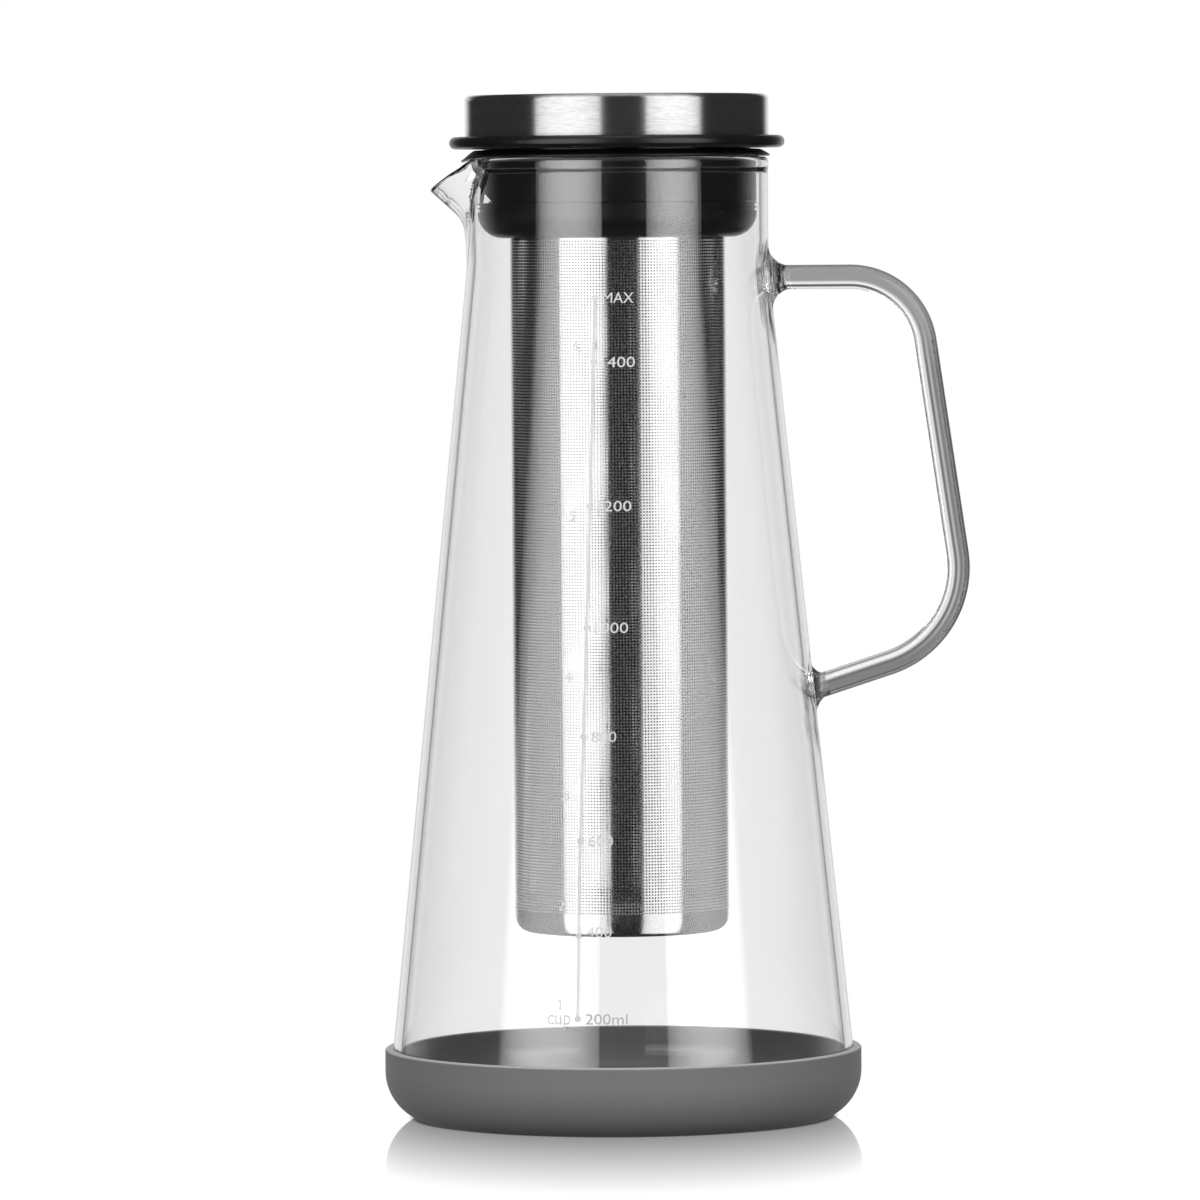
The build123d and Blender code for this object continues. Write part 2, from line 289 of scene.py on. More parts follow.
def stepped(runs):
    """Numbers in even steps. A run is its first number, its last and their count."""
    return np.concatenate([np.linspace(*run) for run in runs])


def smooth_step(value, low, high):
    t = np.clip((value - low) / (high - low), 0, 1)
    return t * t * (3 - 2 * t)


def smooth_max(a, b, width):
    return np.maximum(a, b) + np.maximum(width - np.abs(a - b), 0) ** 2 / (4 * width)


def swell(value, reach):
    """A bell that is 1 at 0 and dies out a little beyond reach."""
    return np.exp(-((value / reach) ** 2))


# ---- the glass body ----
COLUMNS = 352
CROWDING = 0.42  # how much closer together the columns stand at the spout
FLOOR_RINGS = (0.01, 8, 17, 26, 34, 41, 45.5)
FLAT_RINGS = 5  # of them, the ones that are sure to lie on the flat of the floor
CORNER_STEPS = 12
WALL_ROWS = ((17, 92, 8), (94.5, 124, 26), (128, 196, 8), (198.5, 209, 9))  # close at the handle
NECK_START = 211.0
NECK_ROWS = ((0, 0.86, 27), (0.88, 1, 9))  # shares of the neck's height, close at the rim
RIM_STEPS = 10
SPOUT_ROOT_HALF_WIDTH = 8.5
SPOUT_FLARE = (230.0, 243.0)  # heights between which it widens from its root to its full width
SPOUT_LOWEST = 205.0  # its form isn't looked for below this height
SPOUT_FLANK = (0.12, 0.3)  # angles between which its underside turns into its flanks
UNDERSIDE_BLEND, FLANK_BLEND = 1.4, 3.2  # how softly it leaves the neck, and what flanks add
LIP_LOWEST = 225.0  # the rim is looked for from here up
LIP_BLEND = 1.2  # how softly the level rim turns down to the lip
LIP_ROUND_LOSS = 0.5  # how much less round the lip's edge is than the rim's
LIP_FALLEN = (0.6, 5.5)  # how far the rim has fallen where the lip begins, and is whole
LIP_THINNING, LIP_THINNING_DEPTH = 0.9, 7.0
BEAD_OUTWARD, BEAD_THICKNESS, BEAD_ROUND = 0.15, 0.45, 1.15
BEAD_END = (2.6, 3.8)  # below the rim


def outer_outline():
    """Radius, height and wall along the body's outside, from the floor's middle to the neck."""
    corner_height = FLOOR_UNDERSIDE + GLASS_CORNER
    corner_radius = cone_radius(corner_height) - GLASS_CORNER * SLANT
    lean = math.atan(TAPER)
    points = [(radius, FLOOR_UNDERSIDE, GLASS_FLOOR) for radius in FLOOR_RINGS]
    for step in range(CORNER_STEPS + 1):
        share = step / CORNER_STEPS
        angle = -math.pi / 2 + share * (math.pi / 2 + lean)
        radius = corner_radius + GLASS_CORNER * math.cos(angle)
        height = corner_height + GLASS_CORNER * math.sin(angle)
        points.append((radius, height, GLASS_FLOOR + share * (GLASS_WALL - GLASS_FLOOR)))
    points += [(cone_radius(height), height, GLASS_WALL) for height in stepped(WALL_ROWS)]
    return points


def spout_reach(height):
    """Distance from the axis to the spout's underside, in the plane of symmetry."""
    root = math.tan(SPOUT_ROOT_LEAN)
    corner = NECK_RADIUS + (SPOUT_CORNER_HEIGHT - SPOUT_START) * root
    lower = NECK_RADIUS + (height - SPOUT_START) * root
    upper = corner + (height - SPOUT_CORNER_HEIGHT) * math.tan(SPOUT_LEAN)
    tangent = SPOUT_BEND * math.tan((SPOUT_LEAN - SPOUT_ROOT_LEAN) / 2)
    start = SPOUT_CORNER_HEIGHT - tangent * math.cos(SPOUT_ROOT_LEAN)
    end = SPOUT_CORNER_HEIGHT + tangent * math.cos(SPOUT_LEAN)
    centre_reach = corner - tangent * math.sin(SPOUT_ROOT_LEAN)
    centre_reach += SPOUT_BEND * math.cos(SPOUT_ROOT_LEAN)
    centre_height = start - SPOUT_BEND * math.sin(SPOUT_ROOT_LEAN)
    arc = centre_reach - np.sqrt(np.maximum(SPOUT_BEND**2 - (height - centre_height) ** 2, 0))
    return np.where(height < start, lower, np.where(height > end, upper, arc))


def neck_radius(height):
    """Outside of the neck and of what lies below it, without the spout."""
    centre_radius = NECK_RADIUS + SHOULDER_ROUND
    centre_height = (centre_radius - CONE_FOOT_RADIUS - SHOULDER_ROUND * SLANT) / -TAPER
    start = centre_height - SHOULDER_ROUND * math.sin(math.atan(TAPER))
    drop = np.maximum(centre_height - height, 0)
    arc = centre_radius - np.sqrt(np.maximum(SHOULDER_ROUND**2 - drop**2, 0))
    return np.where(height < start, cone_radius(height), arc)


def wall_radius(angle, height):
    """Outside of the glass at an angle from the spout's direction."""
    flare = smooth_step(height, *SPOUT_FLARE)
    half_width = SPOUT_ROOT_HALF_WIDTH + (SPOUT_HALF_WIDTH - SPOUT_ROOT_HALF_WIDTH) * flare
    centre = spout_reach(height) - half_width
    inside = half_width**2 - (centre * np.sin(angle)) ** 2
    reach = centre * np.cos(angle) + np.sqrt(np.maximum(inside, 0))
    ahead = (inside > 0) & (np.cos(angle) > 0) & (height > SPOUT_LOWEST)
    flank = smooth_step(np.abs(np.arctan2(np.sin(angle), np.cos(angle))), *SPOUT_FLANK)
    blend = UNDERSIDE_BLEND + FLANK_BLEND * flank
    return smooth_max(neck_radius(height), np.where(ahead, reach, 0), blend)


def rim_top(angle):
    """Height of the rim at an angle from the spout: level, then falling along the lip."""
    low = np.full_like(angle, LIP_LOWEST)
    high = np.full_like(angle, RIM_HEIGHT)
    for _ in range(40):  # halvings
        middle = (low + high) / 2
        over = wall_radius(angle, middle) * np.cos(angle) - LIP_DROP_RADIUS
        plane = RIM_HEIGHT - over * math.tan(LIP_FALL)
        top = -smooth_max(-plane, np.full_like(plane, -RIM_HEIGHT), LIP_BLEND)
        low = np.where(middle < top, middle, low)
        high = np.where(middle < top, high, middle)
    return (low + high) / 2


def body_outside(turn, top, leaning):
    """Rows of points over the body's outside, from the floor's middle to the rim, and its wall."""
    outline = outer_outline()
    rows = [(np.full(COLUMNS, radius), np.full(COLUMNS, height)) for radius, height, _ in outline]
    walls = [wall for _, _, wall in outline]
    neck = top - BEAD_ROUND * (1 - 0.62 * leaning) - NECK_START  # 0.62 leaves the lip its own round
    for share in stepped(NECK_ROWS):
        height = NECK_START + share * neck
        rows.append((wall_radius(turn, height), height))
        walls.append(GLASS_WALL)
    radius, height = np.array(rows).transpose(1, 0, 2)
    points = np.stack([-radius * np.cos(turn), radius * np.sin(turn), height], -1)
    return points, np.array(walls)[:, None]


def outward_normals(points):
    along = np.gradient(points, axis=0)
    around = np.roll(points, -1, 1) - np.roll(points, 1, 1)
    normals = unit(np.cross(along, around))
    away = np.sum(normals * points * (1, 1, 0), axis=2, keepdims=True)
    normals *= np.where(away < 0, -1, 1)
    normals[:FLAT_RINGS] = (0, 0, -1)
    return normals


def make_glass_body(material):
    turn = whole_turn(COLUMNS)  # from the spout's direction, -X
    turn = turn - CROWDING * np.sin(turn)
    top = rim_top(turn)
    leaning = smooth_step(RIM_HEIGHT - top, *LIP_FALLEN)  # 0 on the level rim and 1 on the lip
    points, thickness = body_outside(turn, top, leaning)
    normals = outward_normals(points)
    # the fire-polished rim is a little thicker than the wall, and ends a little sooner on the lip
    below_rim = (top - points[..., 2]) * np.where(top < RIM_HEIGHT - 0.5, 1.25, 1.0)
    bead = 1 - smooth_step(below_rim, *BEAD_END)
    # the lip thins to a crisp edge towards its tip
    thinner = LIP_THINNING * (1 - smooth_step(below_rim, 0.0, LIP_THINNING_DEPTH))
    thickness = thickness + BEAD_THICKNESS * bead - leaning * thinner
    inner = ripple(points - normals * thickness[..., None])
    outside = points + normals * (BEAD_OUTWARD * bead * (1 - leaning))[..., None]
    # round the rim from the outside over to the inside
    up = unit(points[-1] - points[-2])
    middle = (outside[-1] + inner[-1]) / 2
    half = np.linalg.norm(outside[-1] - inner[-1], axis=1, keepdims=True) / 2
    rise = BEAD_ROUND - LIP_ROUND_LOSS * leaning[:, None]
    rim = []
    for step in range(1, RIM_STEPS):
        angle = math.pi * step / RIM_STEPS
        rim.append(middle + half * math.cos(angle) * normals[-1] + rise * math.sin(angle) * up)
    rows = np.concatenate([outside, np.array(rim), inner[::-1]])
    faces = capped_faces(len(rows), COLUMNS)
    body = new_object("glass_jug", rows.reshape(-1, 3), faces, material)
    face_outward(body)
    return body


# the marks that fusing on the handle left in the inside of the wall
RING_HEIGHT, RING_PITCH, RING_REACH = 0.3, 4.2, 6.5
SAG_DEPTH, SAG_HALF_WIDTH, SAG_DROP, SAG_HALF_HEIGHT = 0.8, 4.2, 9, 4
MARKED_WELDS = ((HANDLE_TOP_HEIGHT, 1.0), (HANDLE_ROOT_HEIGHT, 0.8))  # height and strength


def ripple(inner):
    """Faint rings and a sag in the inside of the wall, where the handle was fused on."""
    angle = np.arctan2(inner[..., 1], inner[..., 0])
    radius = np.hypot(inner[..., 0], inner[..., 1])
    move = np.zeros_like(radius)
    for height, strength in MARKED_WELDS:
        across = angle * radius
        up = inner[..., 2] - height
        far = np.hypot(across, up)
        rings = RING_HEIGHT * np.cos(far * 2 * math.pi / RING_PITCH) * swell(far, RING_REACH)
        sag = SAG_DEPTH * swell(across, SAG_HALF_WIDTH) * swell(up + SAG_DROP, SAG_HALF_HEIGHT)
        move += strength * (rings + sag)
    inward = np.stack([-np.cos(angle) * move, -np.sin(angle) * move, np.zeros_like(move)], -1)
    return inner + inward


# ---- the glass handle ----
ROD_SIDES = 80
RUN_STEP, BEND_STEP = 2.5, 0.5  # between the rod's rings, on its runs and in its bends
# how far each weld's flare spreads beyond the rod, and how far it rises from the wall
UPPER_WELD = (5.2, 4.6)
LOWER_WELD = (3.2, 2.6)
LOWER_WELD_GAP = 0.9  # between the rod's last ring and the lower flare
WELD_STEPS = 12
WELD_SWELL = 0.35  # how much fuller the flare is than a plain round
WELD_SINK = 0.9  # how far the last ring lies inside the wall
WELD_OVERLAP = 0.3
# how far the rod's shade reaches over the rings of each weld, nearest the rod first
WELD_FADE = (1, 1, 1, 0.7, 0.35)

# Painted shade, standing in for what the three runs of the rod refract of the dark parts of the
# studio, across the rod's width from -1 on the inside of its loop to 1 on the outside: clear, then
# a step to painted grey, with darker and paler lines. The step's two ends and how clear the grey
# is, then each line's place, half width and gain in clearness
TOP_RUN = (-0.52, -0.24, 0.35), ((-0.69, 0.16, -0.8), (1.0, 0.6, -0.1))
SIDE_RUN = (-0.38, -0.2, 0.13), (
    (-0.75, 0.19, -0.72), (-0.45, 0.18, -0.34), (0.05, 0.2, 0.42), (0.55, 0.32, 0.1),
)
LOW_RUN = (-0.5, -0.22, 0.24), ((-0.8, 0.2, -0.72), (-0.14, 0.12, -0.08))
TOP_BEND_FADE = (4, 26)  # how far below the top run its look begins and ends to change
LOW_BEND_FADE = (-8, 8)  # the same below the lower corner


def straight_run(start, end):
    """Points along a straight line, without its start."""
    run = end - start
    count = max(1, int(np.linalg.norm(run) / RUN_STEP))
    return [start + run * (k + 1) / count for k in range(count)]


def fillet_path(corners, bends):
    """Points along straight runs joined by tangent arcs."""
    path = [corners[0]]
    for before, corner, after, bend in zip(corners, corners[1:], corners[2:], bends):
        into, out = unit(corner - before), unit(after - corner)
        turn = math.acos(np.dot(into, out))
        start = corner - into * (bend * math.tan(turn / 2))
        side = unit(out - into * np.dot(into, out))
        centre = start + side * bend
        path += straight_run(path[-1], start)
        steps = max(2, int(bend * turn / BEND_STEP))
        for k in range(1, steps + 1):
            angle = turn * k / steps
            path.append(centre + bend * (into * math.sin(angle) - side * math.cos(angle)))
    path += straight_run(path[-1], corners[-1])
    return np.array(path)


def ring(middle, radius, turn, side, up):
    return middle + radius * (np.cos(turn)[:, None] * side + np.sin(turn)[:, None] * up)


def slide_to_wall(points, way, height):
    """Moves points along the rod's line until they stand height above the wall."""
    shift = np.zeros(len(points))
    for _ in range(12):  # enough to settle
        place = points + shift[:, None] * way
        radius = np.hypot(place[:, 0], place[:, 1])
        above_wall = (radius - neck_radius(place[:, 2])) / SLANT
        shift -= (above_wall - height) / max(way[0], 0.5)
    return points + shift[:, None] * way


def weld_rings(root, way, side, up, turn, spread, rise):
    """Rings of the flare that runs from the rod onto the wall, nearest the rod first."""
    rings = []
    for step in range(1, WELD_STEPS + 1):
        share = step / WELD_STEPS
        angle = share * math.pi / 2
        radius = ROD_RADIUS + spread * (1 - math.cos(angle))
        radius += WELD_SWELL * math.sin(share * math.pi) ** 2
        points = ring(root, radius, turn, side, up)
        rings.append(slide_to_wall(points, way, rise * (1 - math.sin(angle))))
    points = ring(root, ROD_RADIUS + spread + WELD_OVERLAP, turn, side, up)
    rings.append(slide_to_wall(points, way, -WELD_SINK))
    return rings


def clear_across(across, step, lines):
    """How clear a run of the rod is painted across its width; what is not clear is painted shade.
    """
    start, end, grey_clear = step
    clear = 1 - (1 - grey_clear) * smooth_step(across, start, end)
    for place, half_width, gain in lines:
        clear = clear + gain * smooth_step(np.abs(across - place), half_width, 0.0)
    return clear


def rod_shade(path, turn, before, after):
    """Painted shade of each point of the rod, fading over the two welds."""
    across = np.sin(turn)
    top, side, low = (clear_across(across, *run) for run in (TOP_RUN, SIDE_RUN, LOW_RUN))
    below_top = smooth_step(HANDLE_TOP_HEIGHT - path[:, 2], *TOP_BEND_FADE)[:, None]
    below_low = smooth_step(HANDLE_LOW_HEIGHT - path[:, 2], *LOW_BEND_FADE)[:, None]
    clear = top * (1 - below_top) + side * below_top
    dark = 1 - clear * (1 - below_low) - low * below_low
    fade = np.zeros((max(before, after), 1))
    fade[: len(WELD_FADE), 0] = WELD_FADE
    return np.concatenate([fade[before - 1 :: -1] * dark[0], dark, fade[:after] * dark[-1]])


def make_glass_rod(material):
    """The handle, the painted shade of each of its points, and which side of the rod each lies on.
    """
    upper_root, upper_corner, lower_corner, lower_root = np.array((
        (NECK_RADIUS, 0, HANDLE_TOP_HEIGHT),
        (HANDLE_TOP_REACH, 0, HANDLE_TOP_HEIGHT),
        (HANDLE_LOW_REACH, 0, HANDLE_LOW_HEIGHT),
        (cone_radius(HANDLE_ROOT_HEIGHT), 0, HANDLE_ROOT_HEIGHT),
    ))
    upper_way = unit(upper_corner - upper_root)
    lower_way = unit(lower_corner - lower_root)
    upper_end = upper_root + upper_way * UPPER_WELD[1]
    lower_end = lower_root + lower_way * (LOWER_WELD[1] + LOWER_WELD_GAP)
    corners = (upper_end, upper_corner, lower_corner, lower_end)
    path = fillet_path(corners, (HANDLE_TOP_BEND, HANDLE_LOW_BEND))
    ways = unit(np.gradient(path, axis=0))
    turn = whole_turn(ROD_SIDES)
    side = np.array((0.0, 1.0, 0.0))
    rod_rings = [
        ring(point, ROD_RADIUS, turn, side, np.cross(way, side)) for point, way in zip(path, ways)
    ]
    up = np.cross(upper_way, side)
    upper = weld_rings(upper_root, upper_way, side, up, turn, *UPPER_WELD)
    # the lower end runs the other way, and the same side directions keep the rings in line
    up = np.cross(-lower_way, side)
    lower = weld_rings(lower_root, lower_way, side, up, turn, *LOWER_WELD)
    rows = np.array(upper[::-1] + rod_rings + lower)
    faces = capped_faces(len(rows), ROD_SIDES)
    rod = new_object("glass_rod", rows.reshape(-1, 3), faces, material)
    face_outward(rod)
    shade = rod_shade(path, turn, len(upper), len(lower))
    # 2 along the middle of the rod, 3 on the outside of its loop, 1 on the inside and 0 off it
    side_of_rod = np.zeros_like(shade)
    side_of_rod[len(upper) : len(upper) + len(path)] = 2 + np.sin(turn)
    return rod, shade.reshape(-1), side_of_rod.reshape(-1)


# ---- body and handle in one ----
# Where the glass is full of fine flow lines: a weld's height, how far they reach up and round
# from it, and how far out along the rod
FLOW_ZONES = ((HANDLE_TOP_HEIGHT, 7.5, 6.5, 2.6), (HANDLE_ROOT_HEIGHT, 5.0, 4.5, 3.2))
FLOW_EDGE = (1.25, 0.85)  # shares of the reach between which they come in
FLOW_DEPTH = (-2.8, -1.2)  # places in the wall between which they come in
LIP_REACH, LIP_HEIGHTS = (38.4, 41.5), (222.0, 228.0)  # where the spout's wider painted dark rim comes in
SAME_POINT = 1e-6  # in metres


def paint_rod(mesh, rod_places, shade, side_of_rod):
    """Paints the shade and side of the rod's points on the same points of the joined glass."""
    dark = np.zeros(len(mesh.vertices))
    side = np.zeros(len(mesh.vertices))
    for index, vertex in enumerate(mesh.vertices):
        _, source, far = rod_places.find(vertex.co)
        if far < SAME_POINT:
            dark[index] = shade[source]
            side[index] = side_of_rod[source]
    paint_layer(mesh, "shade", dark)
    paint_layer(mesh, "side_of_rod", side)


def paint_zones(mesh):
    """Paints the two welds and the lip."""
    places = np.array([vertex.co / MM for vertex in mesh.vertices])
    weld = np.zeros(len(places))
    for height, up, wide, end in FLOW_ZONES:
        far = np.sqrt(((places[:, 2] - height) / up) ** 2 + (places[:, 1] / wide) ** 2)
        out = places[:, 0] - neck_radius(np.array(height))
        near = smooth_step(far, *FLOW_EDGE) * smooth_step(out, *FLOW_DEPTH)
        weld = np.maximum(weld, near * smooth_step(out, end, end - 1.0))
    paint_layer(mesh, "weld", weld)
    lip = smooth_step(-places[:, 0], *LIP_REACH) * smooth_step(places[:, 2], *LIP_HEIGHTS)
    paint_layer(mesh, "lip", lip)


def make_glass(material):
    body = make_glass_body(material)
    rod, shade, side_of_rod = make_glass_rod(material)
    rod_places = KDTree(len(rod.data.vertices))
    for vertex in rod.data.vertices:
        rod_places.insert(vertex.co, vertex.index)
    rod_places.balance()
    unite(body, rod)
    shade_smooth(body.data)
    paint_rod(body.data, rod_places, shade, side_of_rod)
    paint_zones(body.data)
    return body


# ---- the gasket's skirt ----
GASKET_COLUMNS = 240
# radius and height round its section, from the inner lower corner outwards and back over the top
GASKET_SECTION = (
    (34.3, 243.35), (35.6, 243.35), (35.85, 243.6), (36.1, 243.95), (37.5, 243.93),
    (38.6, 243.9), (39.1, 243.92), (39.3, 244.1), (39.2, 244.35), (38.6, 244.72),
    (37.4, 245.25), (36.6, 245.52), (36.0, 245.63), (34.3, 245.65),
)
FREE_PART = (35.9, 39.2)  # radii between which the skirt comes loose from the lid
SPOUT_DROOP, SPOUT_DROOP_REACH = 1.25, 0.38
SPOUT_STRETCH, HANDLE_PULL, STRETCH_REACH = 0.25, 0.5, 0.5
WAVE_HEIGHT, WAVES = 0.06, 3


def make_gasket(material):
    """The soft skirt under the drip ring. It hangs a little lower over the spout."""
    turn = whole_turn(GASKET_COLUMNS)
    away = np.abs(np.arctan2(np.sin(turn - math.pi), np.cos(turn - math.pi)))  # from the spout
    droop = SPOUT_DROOP * swell(away, SPOUT_DROOP_REACH)
    droop += WAVE_HEIGHT * (1 + np.sin(WAVES * turn + 0.6))
    shift = SPOUT_STRETCH * swell(away, STRETCH_REACH)
    shift -= HANDLE_PULL * swell(math.pi - away, STRETCH_REACH)
    rows = []
    for radius, height in GASKET_SECTION:
        share = smooth_step(radius, *FREE_PART)
        reach = radius + shift * share
        up = height - droop * share
        rows.append(np.stack([reach * np.cos(turn), reach * np.sin(turn), up], 1))
    faces = grid_faces(len(rows), GASKET_COLUMNS, loop=True)
    skirt = new_object("gasket_skirt", np.concatenate(rows), faces, material)
    face_outward(skirt)
    return skirt


# ---- the printed scale ----
PRINT_ANGLE = -101.5  # degrees round the axis, up to where the print begins to run aslant
ASLANT_FROM, ASLANT_TURN = 70.0, 2.9 / 138.5  # height, and degrees for each millimetre above it
LINE_FOOT, LINE_TOP = 29.7, 208.5
LINE_HALF_WIDTH, LINE_STEPS = 0.36, 60
LINE_TONE, LINE_COVER, LINE_LIFT = 0.46, 0.75, 0.04  # the line lies under the dots and words
DOT_RADIUS, DOT_SIDES = 0.8, 24
DOT_TONE, DOT_COVER = 0.44, 0.9
WORD_COVER, WORD_LIFT = 0.94, 0.06
FONT_SIZE = 3.5  # that text is drawn at before it is scaled
FIGURE_HEIGHT, CUP_HEIGHT, CUP_WIDTH = 2.6, 2.4, 5.9
# heights of the words and of their dot, the words, their width and the tone of their ink
MARKS = (
    (208.5, 208.5, "MAX", 7.7, 0.52),
    (192.5, 192.5, "1400", 8.4, 0.52),
    (156.7, 156.7, "1200", 8.4, 0.5),
    (126.5, 126.5, "1000", 8.4, 0.5),
    (99.5, 99.5, "800", 6.25, 0.46),
    (73.7, 73.7, "600", 6.25, 0.44),
    (51.2, 50.2, "400", 6.25, 0.46),
    (29.7, 29.7, "200ml", 10.5, 0.25),
)
# height, figure and the tone of its ink
CUP_MARKS = (
    (196.5, "6", 0.56),
    (154.3, "5", 0.58),
    (114.3, "4", 0.6),
    (85.1, "3", 0.64),
    (57.8, "2", 0.64),
    (33.1, "1", 0.43),
)
MARKS_PLACE, CUP_MARKS_PLACE, CUP_PLACE = 2.0, -4.5, -1.8  # beside the line
FLAG = ((-0.1, 1.3), (-0.65, 0.85), (-0.65, 0.5), (-0.1, 0.9))  # of the figure one, from its middle


def wrap(points, lift):
    """Lays flat points, as distance along the print and height, over the outside of the glass."""
    placed = []
    for across, height in points:
        radius = cone_radius(height) + lift
        angle = math.radians(PRINT_ANGLE + ASLANT_TURN * max(height - ASLANT_FROM, 0.0))
        angle += across / radius
        placed.append((radius * math.cos(angle), radius * math.sin(angle), height))
    return placed


def flat_text(words):
    """Vertices and faces of a line of text, in millimetres from its left end and its foot."""
    curve = bpy.data.curves.new("words", "FONT")
    curve.body = words
    curve.size = FONT_SIZE
    curve.resolution_u = 3
    holder = link_object("words", curve)
    depsgraph = bpy.context.evaluated_depsgraph_get()
    mesh = bpy.data.meshes.new_from_object(holder.evaluated_get(depsgraph))
    vertices = [(vertex.co.x, vertex.co.y) for vertex in mesh.vertices]
    faces = [tuple(face.vertices) for face in mesh.polygons]
    bpy.data.objects.remove(holder)
    bpy.data.curves.remove(curve)
    bpy.data.meshes.remove(mesh)
    return vertices, faces


def make_print(material):
    vertices, faces, tones, covers = [], [], [], []

    def add(points, polygons, tone, cover=WORD_COVER, lift=WORD_LIFT):
        start = len(vertices)
        vertices.extend(wrap(points, lift))
        tones.extend([tone] * len(points))
        covers.extend([cover] * len(points))
        faces.extend(tuple(start + index for index in polygon) for polygon in polygons)

    def label(words, across, height, tone, width=None, tall=FIGURE_HEIGHT, align=0.0):
        """Words at a width and height. align is the share of the width left of the given place."""
        points, polygons = flat_text(words)
        left, right = min(x for x, y in points), max(x for x, y in points)
        top = max(y for x, y in points)
        width = width or right - left
        start = across - align * width
        scale = width / (right - left)
        places = [(start + (x - left) * scale, height + (y / top - 0.5) * tall) for x, y in points]
        add(places, polygons, tone)

    line = []
    for height in np.linspace(LINE_FOOT, LINE_TOP, LINE_STEPS + 1):
        line += [(-LINE_HALF_WIDTH, height), (LINE_HALF_WIDTH, height)]
    quads = [(2 * k, 2 * k + 1, 2 * k + 3, 2 * k + 2) for k in range(LINE_STEPS)]
    add(line, quads, LINE_TONE, LINE_COVER, LINE_LIFT)
    for height, dot_height, words, width, tone in MARKS:
        dot = [(x, dot_height + y) for x, y in circle(DOT_RADIUS, DOT_SIDES)]
        add(dot, [tuple(range(DOT_SIDES))], max(tone, DOT_TONE), DOT_COVER)
        label(words, MARKS_PLACE, height, tone, width)
    for height, figure, tone in CUP_MARKS:
        label(figure, CUP_MARKS_PLACE, height, tone, align=0.5)
    # the last figure, a one, has a flag, and "cup" stands under it
    height, _, tone = CUP_MARKS[-1]
    add([(CUP_MARKS_PLACE + x, height + y) for x, y in FLAG], [(0, 1, 2, 3)], tone)
    label("cup", CUP_PLACE, LINE_FOOT - 0.2, tone, CUP_WIDTH, CUP_HEIGHT, align=1.0)
    made = new_object("printed_scale", vertices, faces, material, smooth=False)
    paint_layer(made.data, "tone", tones)
    paint_layer(made.data, "cover", covers)
    return made


# ---- materials ----
GLASS_IOR = 1.47
GLASS_TINT = 0.985
FLOW_SCALES = (560.0, 200.0, 120.0)  # the flow lines are drawn out upwards and along the wall
FLOW_LINES = 6.0  # dark lines for each wave of the flow
FLOW_DARK = 0.28  # painted shade: how dark a weld is painted between its lines
OUTERMOST = (2.66, 2.82)  # sides of the rod between which the even painted dark tone of its outside comes in


def glass_material():
    tree = material_tree("clear_glass_look")
    shade, weld = tree.painted("shade"), tree.painted("weld")
    lip, side_of_rod = tree.painted("lip"), tree.painted("side_of_rod")
    waves = tree.noise(tree.stretched(tree.separate(tree.place()), FLOW_SCALES), 1.0, 1.0, 0.4)
    flow = tree.bump(tree.times(waves, weld), 0.8, 0.0011)
    # painted shade: thin dark lines that follow the flow of the glass, standing in for what its
    # flow refracts
    wave = tree.math("FRACT", tree.times(waves, FLOW_LINES))
    crossing = tree.math("ABSOLUTE", tree.minus(wave, 0.5))
    lines = tree.times(tree.smooth(crossing, 0.08, 0.24, 0.9, 0.0), weld)
    # painted shade: a dark rim where the glass is seen edge-on, standing in for the dark room that
    # a thick edge shows, wider on the lip and none on the rod
    facing = tree.node("ShaderNodeLayerWeight", "Facing", {"Blend": 0.5})
    entering = tree.minus(1.0, tree.node("ShaderNodeNewGeometry", "Backfacing"))
    grazing = tree.math("MULTIPLY_ADD", lip, 0.15, facing)
    off_rod = tree.below(side_of_rod, 0.5)
    edge = tree.times(tree.smooth(grazing, 0.86, 0.93, 0.0, 0.95), entering, off_rod)
    shade = tree.most(tree.times(shade, entering), lines, edge, tree.times(weld, FLOW_DARK))
    clear = tree.minus(1.0, shade)
    glass = tree.principled({
        "Base Color": tree.mix_colour(tree.times(clear, clear), grey(0.0), grey(GLASS_TINT)),
        "Roughness": 0.0,
        "IOR": GLASS_IOR,
        "Transmission Weight": 1.0,
        "Normal": flow,
    })
    # painted shade: the outside of the rod's loop, where its bends would glitter, shows one even
    # painted dark tone
    outermost = tree.smooth(side_of_rod, *OUTERMOST)
    open_share = tree.minus(1.0, tree.times(outermost, shade))
    tint = tree.mix_colour(open_share, grey(0.0), grey(0.97))
    straight = tree.node("ShaderNodeBsdfTransparent", 0, {"Color": tint})
    rays = tree.rays()
    through = tree.most(rays["Is Shadow Ray"], rays["Is Diffuse Ray"], tree.times(weld, 0.3))
    through = tree.most(through, tree.times(outermost, 0.92))
    return tree.surface(tree.mix_shader(through, glass, straight))


BRUSH_SCALES = (0.35, 110.0, 110.0)  # round the axis, away from it and up


def brushed_cap_material():
    """Steel brushed round its axis: fine lines, drawn out along the turn."""
    tree = material_tree("brushed_cap_look")
    turn = tree.stretched(tree.round_axis(), BRUSH_SCALES)
    fine = tree.noise(turn, 34.0, 3.0, 0.6)
    broad = tree.noise(turn, 5.0, 2.0, 0.5)
    lines = tree.plus(tree.times(fine, 0.7), tree.times(broad, 0.3))
    return tree.surface(tree.principled({
        "Base Color": tree.mix_colour(tree.smooth(lines, 0.38, 0.62), grey(0.49), grey(0.59)),
        "Metallic": 1.0,
        "Roughness": tree.smooth(lines, 0.3, 0.7, 0.27, 0.26),
        "Anisotropic": 1.0,
        "Anisotropic Rotation": 0.25,
        "Tangent": tree.node("ShaderNodeTangent", 0, direction_type="RADIAL", axis="Z"),
    }))


DULL_TONE = 0.78  # of the inside of the filter's sheet, which the etching left dull
INSIDE_RADIUS = (FILTER_RADIUS - 0.2) * MM  # between the two sides of the sheet


